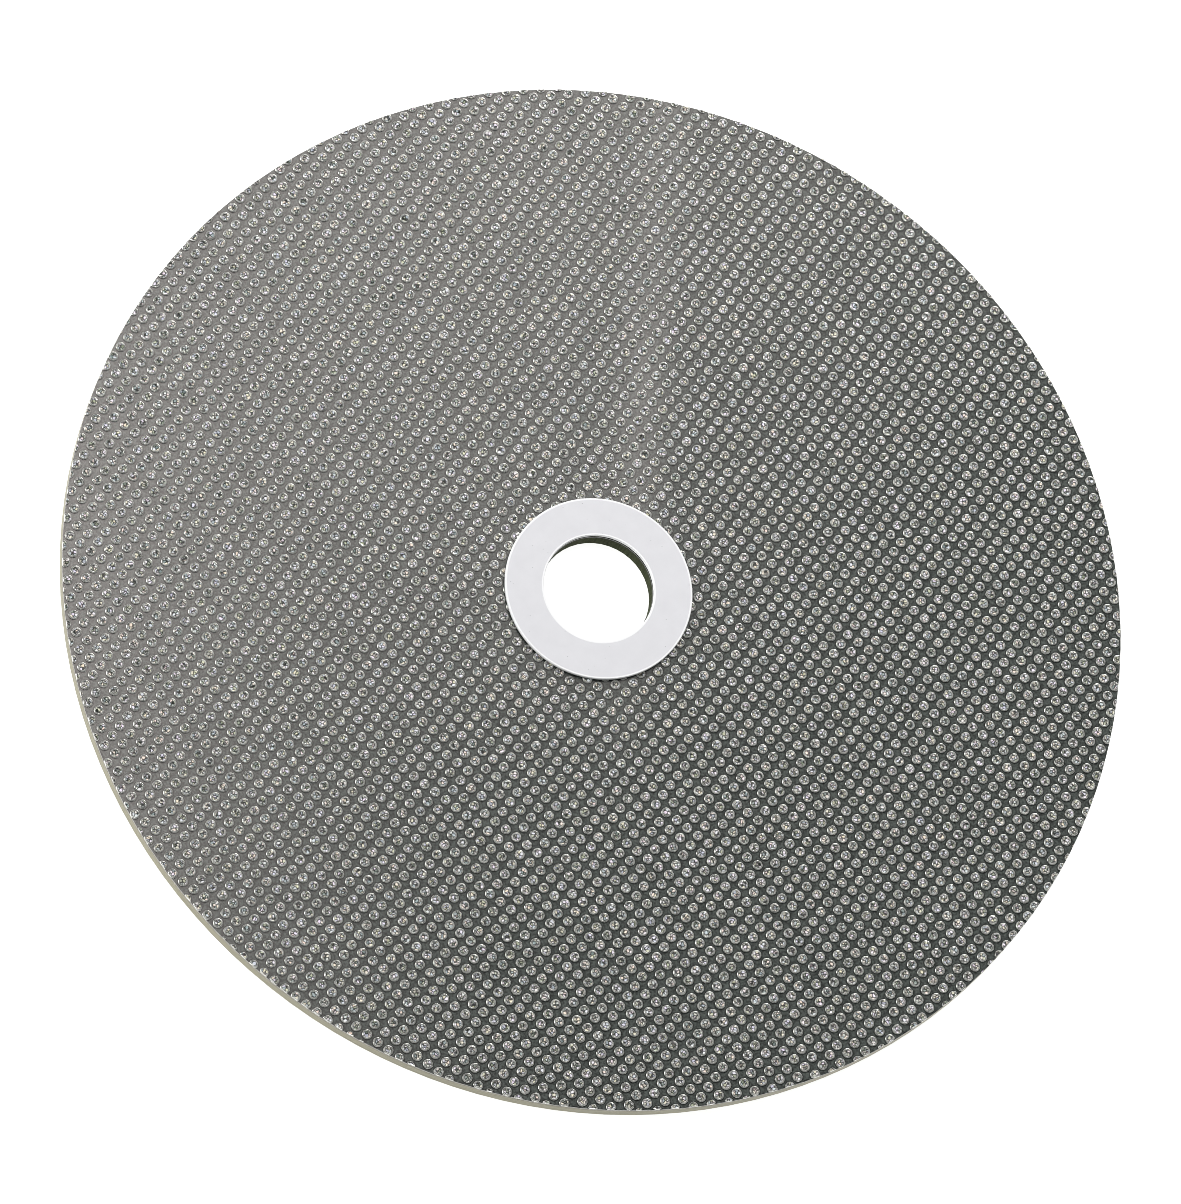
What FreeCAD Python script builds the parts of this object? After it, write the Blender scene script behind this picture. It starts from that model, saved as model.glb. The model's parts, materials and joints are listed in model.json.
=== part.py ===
import FreeCAD, Part
import math
import os

import Sketcher

# A flat diamond grinding disc for an angle grinder: a glass-fibre plate faced with a dark
# abrasive sheet, whose diamond grit sits in a square pattern of small raised dots, and a white
# ring stuck over the dots around the arbor hole. Every layer is bonded to the next and the
# arbor hole runs through all of them.
#
# Frame: millimetres, +Z out of the abrasive face, X and Y along the rows of dots, and the
# origin on the axis of the arbor hole, in the plane of the plate's back face.

# Driving dimensions: alias in the sheet, value in millimetres, what it measures.
DIMENSIONS = (
    ("disc_diameter", 152.4, "plate and abrasive sheet, outside (6 in)"),
    ("arbor_diameter", 15.875, "hole through every layer (5/8 in)"),
    ("ring_diameter", 27.0, "white centre ring, outside"),
    ("plate_thickness", 2.4, "glass-fibre plate"),
    ("film_thickness", 0.1, "adhesive film between plate and cloth"),
    ("cloth_thickness", 0.2, "woven carrier that the dots are plated on"),
    ("coat_thickness", 0.2, "dark resin that fills the sheet between the dots"),
    ("dot_height", 0.2, "dot, above the resin"),
    ("ring_film_thickness", 0.1, "adhesive under the ring, from the tops of the dots"),
    ("ring_thickness", 0.4, "white centre ring"),
    ("dot_pitch", 1.827, "centre to centre along a row, and row to row"),
    ("dot_diameter", 1.46, "one dot"),
    ("rim_edge_break", 0.6, "chamfer on the back edge of the plate, at the rim"),
    ("hole_edge_break", 0.3, "chamfer on the back edge of the plate, at the hole"),
    ("ring_edge_break", 0.08, "chamfer on the top edges of the ring"),
)

# A dot that the rim or the hole trims to less than this share of a whole one has no hold on
# the cloth, and is left out.
LEAST_DOT_SHARE = 0.06

# Two lengths closer than this are the same length.
SAME_LENGTH = 1e-4

OUT_FOLDER = "parts"

doc = FreeCAD.newDocument("grinding_disc")


# --- The sheet of driving dimensions ---------------------------------------------------------

def make_sheet():
    """Write the driving dimensions into a spreadsheet, one alias a row."""
    new_sheet = doc.addObject("Spreadsheet::Sheet", "Sizes")
    for row, (alias, value, meaning) in enumerate(DIMENSIONS, start=1):
        new_sheet.set(f"A{row}", meaning)
        new_sheet.set(f"B{row}", str(value))
        new_sheet.setAlias(f"B{row}", alias)
    doc.recompute()
    return new_sheet


sheet = make_sheet()


def size(alias):
    """A driving dimension's value, read from the sheet."""
    return float(sheet.get(alias))


def stack(*aliases):
    """The expression for the height reached by these thicknesses, laid one on another."""
    return " + ".join(f"Sizes.{alias}" for alias in aliases)


# The height at which each layer starts, from the plate's back face upwards.
FILM_BASE = stack("plate_thickness")
CLOTH_BASE = stack("plate_thickness", "film_thickness")
COAT_BASE = stack("plate_thickness", "film_thickness", "cloth_thickness")
SHEET_LAYERS = ("plate_thickness", "film_thickness", "cloth_thickness", "coat_thickness")
RING_FILM_BASE = stack(*SHEET_LAYERS, "dot_height")
RING_BASE = stack(*SHEET_LAYERS, "dot_height", "ring_film_thickness")


# --- Round layers, each a body of its own ----------------------------------------------------

def origin_plane(body, role):
    """The origin plane of this body that has this role."""
    for feature in body.Origin.OriginFeatures:
        if feature.Role == role:
            return feature
    raise ValueError(f"{body.Label} has no {role}")


def add_centred_circle(sketch, diameter_alias):
    """Draw a circle about the sketch's origin, its diameter bound to the sheet."""
    start_radius = size(diameter_alias) / 2
    outline = Part.Circle(FreeCAD.Vector(0, 0, 0), FreeCAD.Vector(0, 0, 1), start_radius)
    circle = sketch.addGeometry(outline, False)
    centre_point, sketch_origin = 3, -1
    sketch.addConstraint(Sketcher.Constraint("Coincident", circle, centre_point, sketch_origin, 1))
    bound = sketch.addConstraint(Sketcher.Constraint("Diameter", circle, 2 * start_radius))
    sketch.setExpression(f"Constraints[{bound}]", f"Sizes.{diameter_alias}")


def make_washer(label, outside_alias, thickness_alias, base=None):
    """A flat round layer with the arbor hole through it, starting at the height of base."""
    body = doc.addObject("PartDesign::Body", label)
    body.Label = label
    sketch = body.newObject("Sketcher::SketchObject", label + "_outline")
    sketch.AttachmentSupport = (origin_plane(body, "XY_Plane"), [""])
    sketch.MapMode = "FlatFace"
    add_centred_circle(sketch, outside_alias)
    add_centred_circle(sketch, "arbor_diameter")
    pad = body.newObject("PartDesign::Pad", label + "_pad")
    pad.Profile = sketch
    pad.setExpression("Length", f"Sizes.{thickness_alias}")
    if base:
        body.setExpression(".Placement.Base.z", base)
    doc.recompute()
    return body


def round_edge_at(shape, height, diameter):
    """The name of a shape's circular edge that has this height and diameter."""
    for number, edge in enumerate(shape.Edges, start=1):
        if not isinstance(edge.Curve, Part.Circle):
            continue
        same_height = abs(edge.Curve.Center.z - height) < SAME_LENGTH
        same_diameter = abs(2 * edge.Curve.Radius - diameter) < SAME_LENGTH
        if same_height and same_diameter:
            return f"Edge{number}"
    raise ValueError(f"no round edge at height {height} with diameter {diameter}")


def break_edge(body, height, diameter_alias, size_alias):
    """Chamfer one round edge of a body, found by its height above the body's own base."""
    solid = body.Tip
    edge = round_edge_at(solid.Shape, height, size(diameter_alias))
    chamfer = body.newObject("PartDesign::Chamfer", f"{body.Label}_{diameter_alias}_break")
    chamfer.Base = (solid, [edge])
    chamfer.setExpression("Size", f"Sizes.{size_alias}")
    doc.recompute()


def make_backing_plate():
    """The stiff plate that carries the sheet, with its back edges broken at rim and hole."""
    plate = make_washer("backing_plate", "disc_diameter", "plate_thickness")
    break_edge(plate, 0, "disc_diameter", "rim_edge_break")
    break_edge(plate, 0, "arbor_diameter", "hole_edge_break")
    return plate


def make_centre_ring():
    """The white ring that the grinder's nut clamps on, its top edges lightly broken."""
    ring = make_washer("centre_ring", "ring_diameter", "ring_thickness", RING_BASE)
    for diameter_alias in ("ring_diameter", "arbor_diameter"):
        break_edge(ring, size("ring_thickness"), diameter_alias, "ring_edge_break")
    return ring


# --- The pattern of dots ---------------------------------------------------------------------

def dot_centres(pitch, reach):
    """Square pattern whose middle falls between four dots, out to this distance each way."""
    steps = math.ceil(reach / pitch)
    places = [(step + 0.5) * pitch for step in range(-steps, steps)]
    for x in places:
        for y in places:
            yield x, y


def make_diamond_dots():
    """All the dots, each its own solid, trimmed where the rim or the hole cuts through them."""
    rim = size("disc_diameter") / 2
    hole = size("arbor_diameter") / 2
    radius = size("dot_diameter") / 2
    height = size("dot_height")
    sheet_area = Part.makeCylinder(rim, height).cut(Part.makeCylinder(hole, height))
    whole_volume = math.pi * radius ** 2 * height

    solids = []
    for x, y in dot_centres(size("dot_pitch"), rim):
        distance = math.hypot(x, y)
        if distance - radius > rim or distance + radius < hole:
            continue
        dot = Part.makeCylinder(radius, height, FreeCAD.Vector(x, y, 0))
        is_trimmed = distance + radius > rim or distance - radius < hole
        if is_trimmed:
            for piece in dot.common(sheet_area).Solids:
                if piece.Volume > LEAST_DOT_SHARE * whole_volume:
                    solids.append(piece)
        else:
            solids.append(dot)

    dots = doc.addObject("Part::Feature", "diamond_dots")
    dots.Label = "diamond_dots"
    dots.Shape = Part.makeCompound(solids)
    resin_top = sum(size(alias) for alias in SHEET_LAYERS)
    dots.Placement = FreeCAD.Placement(FreeCAD.Vector(0, 0, resin_top), FreeCAD.Rotation())
    return dots


# --- The whole disc --------------------------------------------------------------------------

def make_parts():
    """Every sub-part, from the back of the disc to its face."""
    return (
        make_backing_plate(),
        make_washer("bonding_film", "disc_diameter", "film_thickness", FILM_BASE),
        make_washer("carrier_cloth", "disc_diameter", "cloth_thickness", CLOTH_BASE),
        make_washer("resin_coat", "disc_diameter", "coat_thickness", COAT_BASE),
        make_diamond_dots(),
        make_washer("ring_adhesive", "ring_diameter", "ring_film_thickness", RING_FILM_BASE),
        make_centre_ring(),
    )


def check_document():
    """Stop if any object of the document failed to compute."""
    for item in doc.Objects:
        if "Invalid" in item.State or "Error" in item.State:
            raise RuntimeError(f"{item.Label} failed: {item.State}")


def check_shape(part):
    """Stop if a sub-part has no shape, or one that isn't valid."""
    if part.Shape.isNull() or not part.Shape.isValid():
        raise RuntimeError(f"{part.Label} has no valid shape")


parts = make_parts()
doc.recompute()
check_document()
for part in parts:
    check_shape(part)

os.makedirs(OUT_FOLDER, exist_ok=True)
for part in parts:
    part.Shape.exportStep(f"{OUT_FOLDER}/{part.Label}.step")
    box = part.Shape.BoundBox
    count = len(part.Shape.Solids)
    print(f"{part.Label}: {count} solid(s), z {box.ZMin:.2f} to {box.ZMax:.2f}, width {box.XLength:.2f}")
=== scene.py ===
import json
import math

import bpy
import numpy as np
from mathutils import Matrix, Vector


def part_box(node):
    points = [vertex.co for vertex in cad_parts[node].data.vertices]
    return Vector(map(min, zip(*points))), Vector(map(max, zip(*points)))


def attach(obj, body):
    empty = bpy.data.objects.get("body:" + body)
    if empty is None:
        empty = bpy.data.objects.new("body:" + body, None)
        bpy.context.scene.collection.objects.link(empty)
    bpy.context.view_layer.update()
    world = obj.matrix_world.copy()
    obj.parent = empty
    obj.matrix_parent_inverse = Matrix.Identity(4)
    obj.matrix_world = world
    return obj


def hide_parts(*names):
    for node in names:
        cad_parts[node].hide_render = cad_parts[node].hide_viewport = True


# The looks of a flat diamond grinding disc: a glass-fibre plate faced with a dark, semi-gloss
# abrasive sheet, whose grit sits in a square pattern of small plated dots, and a white ring
# round the arbor hole. The plate, films, cloth, resin and ring are the design's own solids with
# better materials. The dots are built here, point by point, in place of the design's plain ones.
# Lengths are in metres, in the design's frame: X and Y along the rows of dots, Z up.

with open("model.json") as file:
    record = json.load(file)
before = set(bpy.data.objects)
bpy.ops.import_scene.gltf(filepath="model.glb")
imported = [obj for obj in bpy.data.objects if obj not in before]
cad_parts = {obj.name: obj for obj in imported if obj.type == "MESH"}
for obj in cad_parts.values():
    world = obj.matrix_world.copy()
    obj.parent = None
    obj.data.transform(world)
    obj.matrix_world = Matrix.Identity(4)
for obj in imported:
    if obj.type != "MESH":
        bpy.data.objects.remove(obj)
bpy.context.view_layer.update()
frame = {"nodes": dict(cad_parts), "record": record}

MM = 0.001

# --- Sizes read from the frame ---------------------------------------------------------------

BODY = "root"
PLATE_LOW, PLATE_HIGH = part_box("backing_plate")
SHEET_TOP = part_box("resin_coat")[1].z
DOT_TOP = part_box("diamond_dots")[1].z
RIM = PLATE_HIGH.x
RING_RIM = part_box("centre_ring")[1].x
DOT_HEIGHT = DOT_TOP - SHEET_TOP

arbor_mount = next(mount for mount in frame["record"]["mounts"] if mount["name"] == "arbor_bore")
HOLE = arbor_mount["dims"]["r_mm"] * MM

# The pattern of dots, as the design lays it out: its middle falls between four dots.
DOT_PITCH = 1.827 * MM
DOT_RADIUS = 0.73 * MM

# --- Small helpers for node trees ------------------------------------------------------------


def colour(red, green, blue):
    """A colour with full alpha."""
    return (red, green, blue, 1.0)


def grey(value):
    """A grey with full alpha."""
    return colour(value, value, value)


def new_material(name):
    """A new node material, returned with its tree and its Principled shader."""
    material = bpy.data.materials.new(name)
    material.use_nodes = True
    tree = material.node_tree
    return material, tree, tree.nodes["Principled BSDF"]


def fill(tree, socket, value):
    """Give an input a number, a colour, or another node's output."""
    if isinstance(value, bpy.types.NodeSocket):
        tree.links.new(value, socket)
    else:
        socket.default_value = value


def add(tree, kind, inputs=None, **settings):
    """A new node, with its settings and its inputs by name or number."""
    node = tree.nodes.new(kind)
    for name, value in settings.items():
        setattr(node, name, value)
    for name, value in (inputs or {}).items():
        fill(tree, node.inputs[name], value)
    return node


def finish_surface(tree, shader, values):
    """Give a shader its inputs, by name."""
    for name, value in values.items():
        fill(tree, shader.inputs[name], value)


def maths(tree, operation, first, second=0.0, third=0.0):
    """One arithmetic step on numbers or outputs."""
    return add(tree, "ShaderNodeMath", {0: first, 1: second, 2: third}, operation=operation).outputs[0]


def blend_between(tree, value, low, high, low_result=0.0, high_result=1.0):
    """Goes smoothly from one result to the other as value goes from low to high."""
    inputs = {
        "Value": value,
        "From Min": low,
        "From Max": high,
        "To Min": low_result,
        "To Max": high_result,
    }
    node = add(tree, "ShaderNodeMapRange", inputs, interpolation_type="SMOOTHSTEP")
    return node.outputs["Result"]


def mix_colours(tree, factor, first, second, blend_type="MIX"):
    """The first colour where factor is 0, and the second blended onto it where it is 1."""
    node = tree.nodes.new("ShaderNodeMix")
    node.data_type = "RGBA"
    node.blend_type = blend_type
    fill(tree, node.inputs["Factor"], factor)
    fill(tree, node.inputs["A"], first)
    fill(tree, node.inputs["B"], second)
    return node.outputs["Result"]


def multiply_colours(tree, first, second):
    """One colour darkened by another."""
    return mix_colours(tree, 1.0, first, second, "MULTIPLY")


def colour_ramp(tree, value, dark, light, low=0.3, high=0.7):
    """From one colour to the other as value goes from low to high."""
    node = add(tree, "ShaderNodeValToRGB", {"Fac": value})
    for element, position, tone in zip(node.color_ramp.elements, (low, high), (dark, light)):
        element.position = position
        element.color = tone
    return node.outputs["Color"]


def place(tree, stretch=(1.0, 1.0, 1.0)):
    """Points of the object in millimetres, stretched along each axis."""
    coords = add(tree, "ShaderNodeTexCoord").outputs["Object"]
    scale = [factor / MM for factor in stretch]
    return add(tree, "ShaderNodeMapping", {"Vector": coords, "Scale": scale}).outputs["Vector"]


def noise(tree, vector, scale, detail=2.0, roughness=0.5):
    """Soft noise from 0 to 1, with scale in features a millimetre."""
    inputs = {"Vector": vector, "Scale": scale, "Detail": detail, "Roughness": roughness}
    return add(tree, "ShaderNodeTexNoise", inputs).outputs[0]


def cells(tree, vector, scale, feature="F1"):
    """Random cells, such as grains: gives the node's Color, Distance and Position."""
    inputs = {"Vector": vector, "Scale": scale}
    return add(tree, "ShaderNodeTexVoronoi", inputs, feature=feature).outputs


def combine(tree, operation, first, second=(0.0, 0.0, 0.0)):
    """One step on vectors: gives the node's Vector and Value."""
    return add(tree, "ShaderNodeVectorMath", {0: first, 1: second}, operation=operation).outputs


def split(tree, vector):
    """The X, Y and Z of a vector."""
    return add(tree, "ShaderNodeSeparateXYZ", {0: vector}).outputs


def flat_length(tree, x, y):
    """The length of a step in the disc's plane."""
    step = add(tree, "ShaderNodeCombineXYZ", {"X": x, "Y": y}).outputs[0]
    return combine(tree, "LENGTH", step)["Value"]


def from_axis(tree):
    """Distance from the disc's axis, in millimetres."""
    parts = split(tree, place(tree))
    return flat_length(tree, parts["X"], parts["Y"])


def from_dot_middle(tree):
    """Distance in the plane from the middle of the nearest dot, in millimetres."""
    pitch_mm = DOT_PITCH / MM
    parts = split(tree, place(tree))
    offsets = []
    for axis in ("X", "Y"):
        cell = maths(tree, "FRACT", maths(tree, "DIVIDE", parts[axis], pitch_mm))
        centred = maths(tree, "SUBTRACT", cell, 0.5)
        offsets.append(maths(tree, "MULTIPLY", centred, pitch_mm))
    return flat_length(tree, *offsets)


def bump(tree, height, strength, distance_mm):
    """Relief for a shader's Normal, with its full height in millimetres."""
    inputs = {"Height": height, "Strength": strength, "Distance": distance_mm * MM}
    return add(tree, "ShaderNodeBump", inputs).outputs["Normal"]


def upwardness(tree):
    """The Z of the surface's direction: 1 on top faces, 0 on walls, -1 on the back."""
    return split(tree, add(tree, "ShaderNodeNewGeometry").outputs["Normal"])["Z"]


def at_bore(tree):
    """1 on the wall of the hole, 0 away from it."""
    return blend_between(tree, from_axis(tree), HOLE / MM + 0.1, HOLE / MM + 0.4, 1.0, 0.0)


# --- Small helpers for objects ---------------------------------------------------------------


def set_material(node_name, material):
    """Give a design solid its material."""
    solid = frame["nodes"][node_name]
    solid.data.materials.clear()
    solid.data.materials.append(material)


def add_object(name, data):
    """A new object in the scene."""
    item = bpy.data.objects.new(name, data)
    bpy.context.scene.collection.objects.link(item)
    return item


def add_square(name, half, material, centre=(0.0, 0.0)):
    """A flat square about a point of the object's own XY plane."""
    x, y = centre
    corners = [(x - half, y - half), (x + half, y - half), (x + half, y + half), (x - half, y + half)]
    mesh = bpy.data.meshes.new(name)
    mesh.from_pydata([(*corner, 0) for corner in corners], [], [(0, 1, 2, 3)])
    mesh.materials.append(material)
    return add_object(name, mesh)


# --- The camera's place, which the sheen card is also set out from ---------------------------

VIEW_AZIMUTH = math.radians(4.54)
VIEW_ELEVATION = math.radians(66.71)
VIEW_ROLL = math.radians(-32.43)
VIEW_DISTANCE = 16.198 * RIM
LENS_MM = 262.42
AIM = Vector((0.0027 * RIM, -0.0286 * RIM, SHEET_TOP))


def direction(azimuth, elevation):
    """Unit vector to a place round the disc: azimuth 0 is on the -Y side, 90 on the +X side."""
    flat = math.cos(elevation)
    return Vector((math.sin(azimuth) * flat, -math.cos(azimuth) * flat, math.sin(elevation)))


def look_matrix(place_of_eye, back, roll=0.0):
    """World matrix of a camera or lamp that looks along -back."""
    level_up = (Vector((0, 0, 1)) - back * back.z).normalized()
    level_right = level_up.cross(back)
    up = level_up * math.cos(roll) + level_right * math.sin(roll)
    right = up.cross(back)
    turned = Matrix((right, up, back)).transposed().to_4x4()
    return Matrix.Translation(place_of_eye) @ turned


CAMERA_BACK = direction(VIEW_AZIMUTH, VIEW_ELEVATION)
CAMERA_PLACE = AIM + CAMERA_BACK * VIEW_DISTANCE


def add_camera():
    """The camera, rolled about its own axis."""
    data = bpy.data.cameras.new("camera")
    data.lens = LENS_MM
    data.clip_start = 0.1 * VIEW_DISTANCE
    data.clip_end = 10 * VIEW_DISTANCE
    camera = add_object("camera", data)
    camera.matrix_world = look_matrix(CAMERA_PLACE, CAMERA_BACK, VIEW_ROLL)
    bpy.context.scene.camera = camera


# --- The dots --------------------------------------------------------------------------------

SEGMENTS = 14
SEED = 7

# A dot that the rim or the hole cuts to less than this depth isn't there.
LEAST_DEPTH = 0.22 * DOT_RADIUS

# A mesh of more than 200,000 faces is thinned when it is written out, so each stays under that.
FACES_TO_A_PIECE = 180_000

# One dot's section from its foot inwards: share of its reach, share of its height, and how far
# each point strays, as shares of its reach and of its height. The foot is sunk into the resin.
DOT_SECTION = (
    (1.00, -0.15, 0.010, 0.00),
    (0.993, 0.48, 0.008, 0.04),
    (0.96, 0.79, 0.014, 0.05),
    (0.875, 0.94, 0.025, 0.05),
    (0.68, 0.88, 0.050, 0.08),
    (0.45, 0.76, 0.070, 0.16),
    (0.22, 0.76, 0.070, 0.18),
)

# The section's outermost bands are shaded smooth, and the gritty ones inside them flat.
SMOOTH_BANDS = 3

# How far a segment strays round the dot, as a share of a segment.
TURN_STRAY = 0.28

# The crown's middle, as a share of the dot's height, is anywhere from this to 1.
LOWEST_CROWN = 0.55


def dot_places():
    """Middle of each dot that is kept, and the pole its rings close on, as two arrays of points."""
    steps = math.ceil(RIM / DOT_PITCH)
    line = (np.arange(-steps, steps) + 0.5) * DOT_PITCH
    x, y = np.meshgrid(line, line, indexing="ij")
    middles = np.stack([x.ravel(), y.ravel()], axis=1)
    distance = np.linalg.norm(middles, axis=1)
    clears_rim = distance - DOT_RADIUS < RIM - LEAST_DEPTH
    clears_hole = distance + DOT_RADIUS > HOLE + LEAST_DEPTH
    kept = clears_rim & clears_hole
    middles, distance = middles[kept], distance[kept]
    innermost = np.maximum(distance - DOT_RADIUS, HOLE)
    outermost = np.minimum(distance + DOT_RADIUS, RIM)
    poles = middles * ((innermost + outermost) / 2 / distance)[:, None]
    return middles, poles


def reach_along(origin, heading, radius, far_side=True):
    """How far a ray in the plane goes to a circle about (0, 0); infinite if it never meets it."""
    along = (origin * heading).sum(-1)
    inside = along**2 - (origin**2).sum(-1) + radius**2
    root = np.sqrt(np.maximum(inside, 0))
    length = -along + root if far_side else -along - root
    return np.where((inside > 0) & (length > 0), length, np.inf)


def dot_points(middles, poles, rng):
    """Every dot's points, as (dots, rings, segments, 3), and each dot's crown point."""
    count = len(poles)
    turn = rng.uniform(0, math.tau, (count, 1))
    stray = rng.uniform(-TURN_STRAY, TURN_STRAY, (count, SEGMENTS))
    angles = turn + (np.arange(SEGMENTS) + stray) * math.tau / SEGMENTS
    heading = np.stack([np.cos(angles), np.sin(angles)], axis=-1)
    origin = poles[:, None, :]
    reach = reach_along(origin - middles[:, None, :], heading, DOT_RADIUS)
    reach = np.minimum(reach, reach_along(origin, heading, RIM))
    reach = np.minimum(reach, reach_along(origin, heading, HOLE, far_side=False))

    rings = []
    for share, height, reach_stray, height_stray in DOT_SECTION:
        length = reach * (share + rng.uniform(-reach_stray, 0, reach.shape))
        flat = origin + heading * length[..., None]
        lift = height + rng.uniform(-height_stray, height_stray, reach.shape)
        level = SHEET_TOP + DOT_HEIGHT * np.minimum(lift, 1.0)
        rings.append(np.concatenate([flat, level[..., None]], axis=-1))
    crown_height = SHEET_TOP + DOT_HEIGHT * rng.uniform(LOWEST_CROWN, 1.0, (count, 1))
    crown = np.concatenate([poles, crown_height], axis=-1)
    return np.stack(rings, axis=1), crown


def dot_faces():
    """Triangles of one dot, by point number, and the number of them that are shaded smooth."""
    ring_count = len(DOT_SECTION)
    crown = ring_count * SEGMENTS
    faces = []
    for ring in range(ring_count - 1):
        for step in range(SEGMENTS):
            here = ring * SEGMENTS + step
            there = ring * SEGMENTS + (step + 1) % SEGMENTS
            above_here, above_there = here + SEGMENTS, there + SEGMENTS
            if (ring + step) % 2:
                faces += [(here, there, above_there), (here, above_there, above_here)]
            else:
                faces += [(here, there, above_here), (there, above_there, above_here)]
    last = (ring_count - 1) * SEGMENTS
    for step in range(SEGMENTS):
        faces.append((last + step, last + (step + 1) % SEGMENTS, crown))
    for step in range(1, SEGMENTS - 1):
        faces.append((0, step + 1, step))
    return np.array(faces), 2 * SEGMENTS * SMOOTH_BANDS


def fill_mesh(mesh, points, corners):
    """Give an empty mesh its points, and its triangles by point number."""
    mesh.vertices.add(len(points))
    mesh.vertices.foreach_set("co", points.astype(np.float32).ravel())
    mesh.loops.add(corners.size)
    mesh.loops.foreach_set("vertex_index", corners.astype(np.int32).ravel())
    mesh.polygons.add(len(corners))
    mesh.polygons.foreach_set("loop_start", np.arange(0, corners.size, 3, dtype=np.int32))


def make_dot_mesh(name, rings, crowns, material):
    """One object that holds this run of dots, each a closed mesh of its own."""
    count = len(crowns)
    faces, smooth = dot_faces()
    points = np.concatenate([rings.reshape(count, -1, 3), crowns[:, None, :]], axis=1)
    first_point = np.arange(count)[:, None, None] * points.shape[1]
    mesh = bpy.data.meshes.new(name)
    fill_mesh(mesh, points.reshape(-1, 3), (faces[None] + first_point).reshape(-1, 3))

    shares = [section[0] for section in DOT_SECTION]
    edge = np.append(np.repeat(shares, SEGMENTS), 0.0)
    reach = mesh.attributes.new("reach", "FLOAT", "POINT")
    reach.data.foreach_set("value", np.tile(edge, count).astype(np.float32))
    is_smooth = np.arange(len(faces)) < smooth
    mesh.polygons.foreach_set("use_smooth", np.tile(is_smooth, count))
    mesh.update()
    mesh.validate()
    mesh.materials.append(material)

    piece = add_object(name, mesh)
    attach(piece, BODY)
    return piece


def add_dots(material):
    """All the dots, in runs small enough to be kept whole when they are written out."""
    middles, poles = dot_places()
    order = np.lexsort((middles[:, 1], middles[:, 0]))
    rings, crowns = dot_points(middles[order], poles[order], np.random.default_rng(SEED))
    faces_each = len(dot_faces()[0])
    runs = math.ceil(len(crowns) * faces_each / FACES_TO_A_PIECE)
    bounds = np.linspace(0, len(crowns), runs + 1).astype(int)
    for number, (start, stop) in enumerate(zip(bounds[:-1], bounds[1:]), start=1):
        piece = make_dot_mesh(f"diamond_dots_{number}", rings[start:stop], crowns[start:stop], material)
        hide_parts("diamond_dots")
    print(f"{len(crowns)} dots of {faces_each} faces in {runs} pieces")


# --- Materials -------------------------------------------------------------------------------

# Painted shade on the wall of the hole: there the layers above the plate are coloured dark, as the
# plate is.
BORE_PAINTED_SHADE = colour(0.030, 0.034, 0.018)

# The dots' grains, in grains a millimetre, and the scale of the relief that tilts them.
GRAINS_TO_MM = 2.6
FACET_RELIEF_MM = 0.6


def grit_colour(tree, grain, to_gap):
    """Pale grains, each a little warm or cool, with painted shade darkening the gaps between them."""
    parts = split(tree, grain)
    brightness = colour_ramp(tree, parts["X"], grey(0.68), grey(1.0), 0.1, 0.4)
    warmth = mix_colours(tree, parts["Z"], colour(1.0, 0.95, 0.82), colour(0.97, 1.0, 1.0))
    tint = mix_colours(tree, 0.16, warmth, grain)
    # Painted shade: near black in the gaps between grains.
    painted_gap_shade = blend_between(tree, to_gap, 0.0, 0.28, 0.05, 1.0)
    return multiply_colours(tree, multiply_colours(tree, brightness, tint), painted_gap_shade)


def facet_relief(tree, points, grains):
    """The height of each grain's flat facet, which has a tilt of its own."""
    from_middle = combine(tree, "SUBTRACT", points, grains["Position"])["Vector"]
    lean = combine(tree, "SUBTRACT", grains["Color"], (0.5, 0.5, 0.5))["Vector"]
    return combine(tree, "DOT_PRODUCT", from_middle, lean)["Value"]


def dot_material():
    """Nickel round the rim of each dot, and diamond grit set in nickel inside it."""
    material, tree, shader = new_material("plated_diamond_grit")
    points = place(tree)
    grains = cells(tree, points, GRAINS_TO_MM)
    to_gap = cells(tree, points, GRAINS_TO_MM, "DISTANCE_TO_EDGE")["Distance"]
    reach = add(tree, "ShaderNodeAttribute", attribute_name="reach").outputs["Fac"]
    rim = blend_between(tree, reach, 0.62, 0.80)
    inside = maths(tree, "SUBTRACT", 1.0, rim)

    patches = noise(tree, points, 3.8)
    nickel = colour_ramp(tree, patches, colour(0.64, 0.64, 0.60), colour(1.0, 1.0, 0.94), 0.38, 0.54)
    plated = mix_colours(tree, rim, grit_colour(tree, grains["Color"], to_gap), nickel)

    glint = blend_between(tree, split(tree, grains["Color"])["Y"], 0.74, 0.86)
    rim_metal = maths(tree, "MULTIPLY_ADD", rim, 0.66, 0.12)
    glint_metal = maths(tree, "MULTIPLY", glint, 0.5)
    inner_roughness = maths(tree, "MULTIPLY_ADD", glint, -0.3, 0.64)
    facets = maths(tree, "MULTIPLY", facet_relief(tree, points, grains), inside)
    finish_surface(tree, shader, {
        # Painted shade where the hole cuts through a dot.
        "Base Color": mix_colours(tree, at_bore(tree), plated, BORE_PAINTED_SHADE),
        "Metallic": maths(tree, "MAXIMUM", rim_metal, glint_metal),
        "Roughness": maths(tree, "MULTIPLY_ADD", rim, -0.36, inner_roughness),
        "Normal": bump(tree, facets, 1.0, FACET_RELIEF_MM),
    })
    return material


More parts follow.
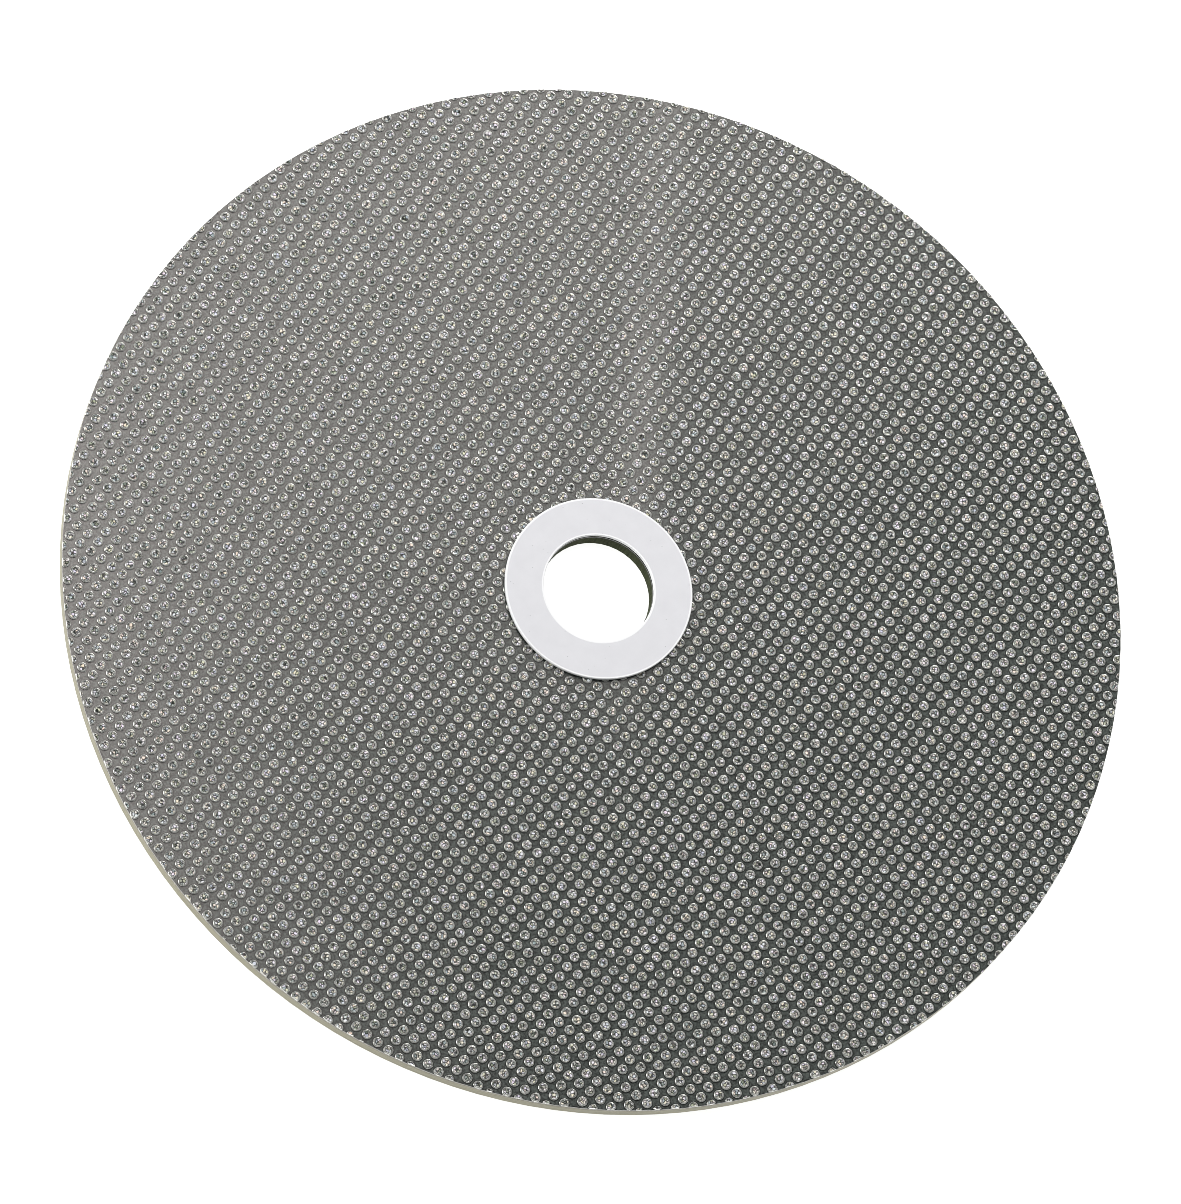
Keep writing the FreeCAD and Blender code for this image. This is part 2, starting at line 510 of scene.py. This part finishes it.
def resin_material():
    """Smooth dark grey resin with a satin sheen, and a painted shade line round the foot of each dot.
    """
    material, tree, shader = new_material("dark_resin")
    points = place(tree)
    foot = DOT_RADIUS / MM
    # Painted shade: the resin darkens just outside the foot of each dot.
    painted_foot_shade = blend_between(tree, from_dot_middle(tree), foot + 0.04, foot + 0.18, 0.3, 1.0)

    mottle = noise(tree, points, 0.35, 4.0, 0.55)
    base = colour_ramp(tree, mottle, colour(0.047, 0.055, 0.050), colour(0.056, 0.064, 0.058))
    fine = noise(tree, points, 3.0, 3.0, 0.6)
    speckle = blend_between(tree, fine, 0.3, 0.7, 0.45, 1.55)
    top = multiply_colours(tree, multiply_colours(tree, base, painted_foot_shade), speckle)
    # Painted shade on the resin's cut edge inside the hole.
    cut_edge = mix_colours(tree, at_bore(tree), colour(0.30, 0.28, 0.25), BORE_PAINTED_SHADE)
    is_top = blend_between(tree, upwardness(tree), 0.4, 0.9)

    cloudy = noise(tree, points, 2.4, 4.0, 0.7)
    finish_surface(tree, shader, {
        "Base Color": mix_colours(tree, is_top, cut_edge, top),
        "Roughness": blend_between(tree, fine, 0.2, 0.8, 0.36, 0.44),
        "Specular IOR Level": 0.2,
        "Coat Weight": blend_between(tree, cloudy, 0.32, 0.68, 0.64, 1.0),
        "Coat Roughness": 0.06,
        "Normal": bump(tree, noise(tree, points, 6.0), 0.25, 0.004),
    })
    return material


def glass_weave(tree):
    """Crossed threads of glass cloth, from 0 to 1."""
    inputs = {"Vector": place(tree), "Scale": 0.55, "Distortion": 0.4}
    threads = []
    for axis in ("X", "Y"):
        wave = add(tree, "ShaderNodeTexWave", inputs, bands_direction=axis)
        threads.append(wave.outputs["Fac"])
    return maths(tree, "MULTIPLY", *threads)


def plate_material():
    """Glass-fibre and epoxy: beige-green cut layers at the rim, and dark green painted shade on the
    same layers inside the hole.
    """
    material, tree, shader = new_material("glass_fibre_plate")
    layers = noise(tree, place(tree, (0.25, 0.25, 6.0)), 1.0, 3.0, 0.6)
    strands = noise(tree, place(tree, (4.0, 4.0, 0.4)), 1.0, 3.0, 0.6)
    rim = colour_ramp(tree, layers, colour(0.245, 0.228, 0.148), colour(0.395, 0.37, 0.255))
    # Painted shade: the plate's own layers, coloured dark green where they line the hole.
    hole = colour_ramp(tree, strands, colour(0.035, 0.040, 0.021), colour(0.066, 0.078, 0.042))
    outside = blend_between(tree, from_axis(tree), HOLE / MM + 0.2, HOLE / MM + 0.6)
    wall = mix_colours(tree, outside, hole, rim)

    weave = glass_weave(tree)
    back = colour_ramp(tree, weave, colour(0.30, 0.33, 0.20), colour(0.50, 0.52, 0.38), 0.0, 1.0)
    is_back = blend_between(tree, upwardness(tree), -0.9, -0.4, 1.0, 0.0)
    finish_surface(tree, shader, {
        "Base Color": mix_colours(tree, is_back, wall, back),
        "Roughness": maths(tree, "MULTIPLY_ADD", outside, -0.4, 0.85),
        "Specular IOR Level": maths(tree, "MULTIPLY_ADD", outside, 0.4, 0.05),
        "Subsurface Weight": 0.12,
        "Subsurface Radius": (0.6 * MM, 0.6 * MM, 0.4 * MM),
        "Normal": bump(tree, maths(tree, "ADD", layers, weave), 0.35, 0.02),
    })
    return material


def ring_material():
    """Matt white plastic with a few fine specks, and a painted highlight along its edges."""
    material, tree, shader = new_material("white_plastic")
    points = place(tree)
    radius = from_axis(tree)
    # Painted highlight: the face turns near white along its outer and inner rims.
    outer_rim_highlight = blend_between(tree, radius, RING_RIM / MM - 0.34, RING_RIM / MM - 0.2)
    inner_rim_highlight = blend_between(tree, radius, HOLE / MM + 0.34, HOLE / MM + 0.2)
    edge = maths(tree, "MAXIMUM", outer_rim_highlight, inner_rim_highlight)

    cloud = noise(tree, points, 0.5, 3.0)
    face = colour_ramp(tree, cloud, colour(0.742, 0.734, 0.756), colour(0.772, 0.764, 0.786))
    from_speck = cells(tree, points, 0.9)["Distance"]
    speck = blend_between(tree, from_speck, 0.02, 0.07, 0.45, 1.0)
    specked = multiply_colours(tree, face, speck)
    finish_surface(tree, shader, {
        "Base Color": mix_colours(tree, edge, specked, grey(0.97)),
        "Roughness": blend_between(tree, cloud, 0.2, 0.8, 0.5, 0.6),
        "Normal": bump(tree, noise(tree, points, 9.0), 0.3, 0.004),
    })
    return material


def cloth_material():
    """The cut edge of a thin pale woven cloth."""
    material, tree, shader = new_material("carrier_cloth")
    threads = noise(tree, place(tree, (3.0, 3.0, 8.0)), 1.0)
    cut = colour_ramp(tree, threads, colour(0.26, 0.25, 0.22), colour(0.62, 0.60, 0.55), 0.35, 0.65)
    finish_surface(tree, shader, {
        # Painted shade on the cloth's cut edge inside the hole.
        "Base Color": mix_colours(tree, at_bore(tree), cut, BORE_PAINTED_SHADE),
        "Roughness": 0.8,
        "Specular IOR Level": 0.1,
        "Normal": bump(tree, threads, 0.5, 0.03),
    })
    return material


def film_material(name, dark, light):
    """A soft adhesive, seen only at its cut edge."""
    material, tree, shader = new_material(name)
    smear = noise(tree, place(tree), 1.5, 3.0)
    edge = colour_ramp(tree, smear, dark, light)
    finish_surface(tree, shader, {
        # Painted shade on the film's cut edge inside the hole.
        "Base Color": mix_colours(tree, at_bore(tree), edge, BORE_PAINTED_SHADE),
        "Roughness": blend_between(tree, smear, 0.3, 0.7, 0.5, 0.7),
        "Specular IOR Level": 0.1,
        "Normal": bump(tree, smear, 0.4, 0.02),
    })
    return material


# --- Stage -----------------------------------------------------------------------------------

FLOOR_HALF = 30 * RIM
FLOOR_GAP = 0.02 * MM

# How brightly the floor shines of itself, which leaves only a trace of the disc's shadow.
FLOOR_GLOW = 0.85


def floor_material():
    """Bright white from above; clear from below, so that the disc's back can be seen through it."""
    material, tree, shader = new_material("floor")
    finish_surface(tree, shader, {
        "Base Color": grey(0.6),
        "Roughness": 0.9,
        "Specular IOR Level": 0.0,
        "Emission Color": grey(1.0),
        "Emission Strength": FLOOR_GLOW,
    })
    clear = add(tree, "ShaderNodeBsdfTransparent").outputs[0]
    from_below = add(tree, "ShaderNodeNewGeometry").outputs["Backfacing"]
    either = add(tree, "ShaderNodeMixShader", {0: from_below, 1: shader.outputs[0], 2: clear})
    fill(tree, tree.nodes["Material Output"].inputs["Surface"], either.outputs[0])
    # The floor is too near the disc's back to be sampled as a lamp without leaving flat bands.
    material.cycles.emission_sampling = "NONE"
    return material


def add_floor():
    """A plain white floor just under the disc."""
    floor = add_square("floor", FLOOR_HALF, floor_material())
    floor.location.z = PLATE_LOW.z - FLOOR_GAP


def add_softbox(name, azimuth, elevation, distance, size, power, glossy=True):
    """A square soft light aimed at the disc: angles in degrees, lengths in metres, power in watts."""
    data = bpy.data.lights.new(name, "AREA")
    data.shape = "SQUARE"
    data.size = size
    data.energy = power
    light = add_object(name, data)
    back = direction(math.radians(azimuth), math.radians(elevation))
    light.matrix_world = look_matrix(back * distance, back)
    light.visible_camera = False
    light.visible_glossy = glossy


def add_world(strength):
    """Even, slightly cool light from all round, which the camera sees as a white backdrop."""
    world = bpy.data.worlds.new("studio")
    world.use_nodes = True
    tree = world.node_tree
    seen = add(tree, "ShaderNodeLightPath").outputs["Is Camera Ray"]
    background = tree.nodes["Background"]
    tone = mix_colours(tree, seen, colour(0.95, 0.98, 1.0), grey(1.0))
    fill(tree, background.inputs["Color"], tone)
    fill(tree, background.inputs["Strength"], blend_between(tree, seen, 0.0, 1.0, strength, 1.0))
    bpy.context.scene.world = world


# --- The sheen card --------------------------------------------------------------------------

# A bright card high over the disc that only the resin mirrors. What it shows at a point of the
# card is worked out from the point of the disc that mirrors it, in disc radii.
CARD_HEIGHT = 4.0 * RIM
CARD_HALF = 4.5 * RIM
CARD_MIDDLE = (0.0, 1.5 * RIM)
CARD_COLOUR = colour(1.0, 0.90, 0.87)

# Headings on the disc, in degrees from +X, along which the light changes.
ACROSS_STREAK = 30.8
ALONG_STREAK = ACROSS_STREAK + 90
TO_WINDOW = 169.0
TO_LAMP = 235.1

# The sheen fades out between these distances from the disc's axis, in disc radii.
SHEEN_FULL = 1.15
SHEEN_GONE = 1.35


def mirrored_point(tree):
    """The point of the disc, in disc radii, at which the camera sees a point of the card."""
    eye_height = CAMERA_PLACE.z - SHEET_TOP
    growth = (eye_height + CARD_HEIGHT) / eye_height
    shift = CAMERA_PLACE * (growth - 1) / growth / RIM
    inputs = {
        "Vector": add(tree, "ShaderNodeTexCoord").outputs["Object"],
        "Location": (shift.x, shift.y, 0),
        "Scale": [1 / growth / RIM] * 3,
    }
    return add(tree, "ShaderNodeMapping", inputs).outputs["Vector"]


def slope(tree, point, heading, start, end, low=0.0, high=1.0):
    """Light that goes smoothly from low to high, from start to end along a heading."""
    turn = math.radians(heading)
    along = combine(tree, "DOT_PRODUCT", point, (math.cos(turn), math.sin(turn), 0))["Value"]
    return blend_between(tree, along, start, end, low, high)


def sheen_pattern(tree):
    """Light that grows to the far left, and a bright streak with sharp sides, as a window leaves."""
    point = mirrored_point(tree)
    window = slope(tree, point, TO_WINDOW, -0.51, 1.11, 0.0, 4.0)
    lamp = slope(tree, point, TO_LAMP, 0.34, 2.5, 0.0, 10.2)

    wall = slope(tree, point, ALONG_STREAK, -0.4, 0.05, 0.0, 0.65)
    low_end = slope(tree, point, ALONG_STREAK, -0.45, 0.3, 0.0, 2.8)
    high_end = slope(tree, point, ALONG_STREAK, 0.45, 0.75, 1.0, 0.5)
    near_side = slope(tree, point, ACROSS_STREAK, 0.0, 0.05)
    far_side = slope(tree, point, ACROSS_STREAK, 0.135, 0.05)
    band = maths(tree, "MULTIPLY", near_side, maths(tree, "MULTIPLY", low_end, high_end))
    streak = maths(tree, "MULTIPLY", far_side, maths(tree, "ADD", wall, band))

    light = maths(tree, "ADD", maths(tree, "ADD", window, lamp), streak)
    distance = combine(tree, "LENGTH", point)["Value"]
    return maths(tree, "MULTIPLY", light, blend_between(tree, distance, SHEEN_GONE, SHEEN_FULL))


def sheen_material():
    """A material that only gives off the sheen's light."""
    material = bpy.data.materials.new("sheen_card")
    material.use_nodes = True
    tree = material.node_tree
    tree.nodes.clear()
    light = add(tree, "ShaderNodeEmission", {"Color": CARD_COLOUR, "Strength": sheen_pattern(tree)})
    add(tree, "ShaderNodeOutputMaterial", {"Surface": light.outputs[0]})
    return material


def add_sheen_card():
    """The card, lighting nothing but the resin, and seen only in its gloss."""
    card = add_square("sheen_card", CARD_HALF, sheen_material(), CARD_MIDDLE)
    card.location.z = SHEET_TOP + CARD_HEIGHT
    card.visible_camera = False
    card.visible_diffuse = False
    card.visible_shadow = False
    card.visible_transmission = False
    lit = bpy.data.collections.new("lit_by_card")
    lit.objects.link(frame["nodes"]["resin_coat"])
    card.light_linking.receiver_collection = lit


# --- Build -----------------------------------------------------------------------------------

BOND_COLOURS = (colour(0.10, 0.09, 0.06), colour(0.24, 0.22, 0.16))
GLUE_COLOURS = (colour(0.02, 0.025, 0.018), colour(0.05, 0.055, 0.04))

# The width of the filter that softens the picture, in pixels: crisper than the usual 1.5.
FILTER_WIDTH = 0.85

set_material("backing_plate", plate_material())
set_material("bonding_film", film_material("bond_edge", *BOND_COLOURS))
set_material("carrier_cloth", cloth_material())
set_material("resin_coat", resin_material())
set_material("ring_adhesive", film_material("ring_glue_edge", *GLUE_COLOURS))
set_material("centre_ring", ring_material())
add_dots(dot_material())

add_camera()
add_floor()
add_world(strength=0.23)
add_softbox("left_window", azimuth=-66, elevation=24, distance=1.8, size=0.9, power=17.0)
add_softbox("far_window", azimuth=-168, elevation=26, distance=0.7, size=0.33, power=2.75)
add_softbox("overhead", azimuth=-150, elevation=70, distance=0.8, size=0.6, power=3.0, glossy=False)
add_sheen_card()
bpy.context.scene.view_settings.view_transform = "Standard"
bpy.context.scene.cycles.filter_width = FILTER_WIDTH
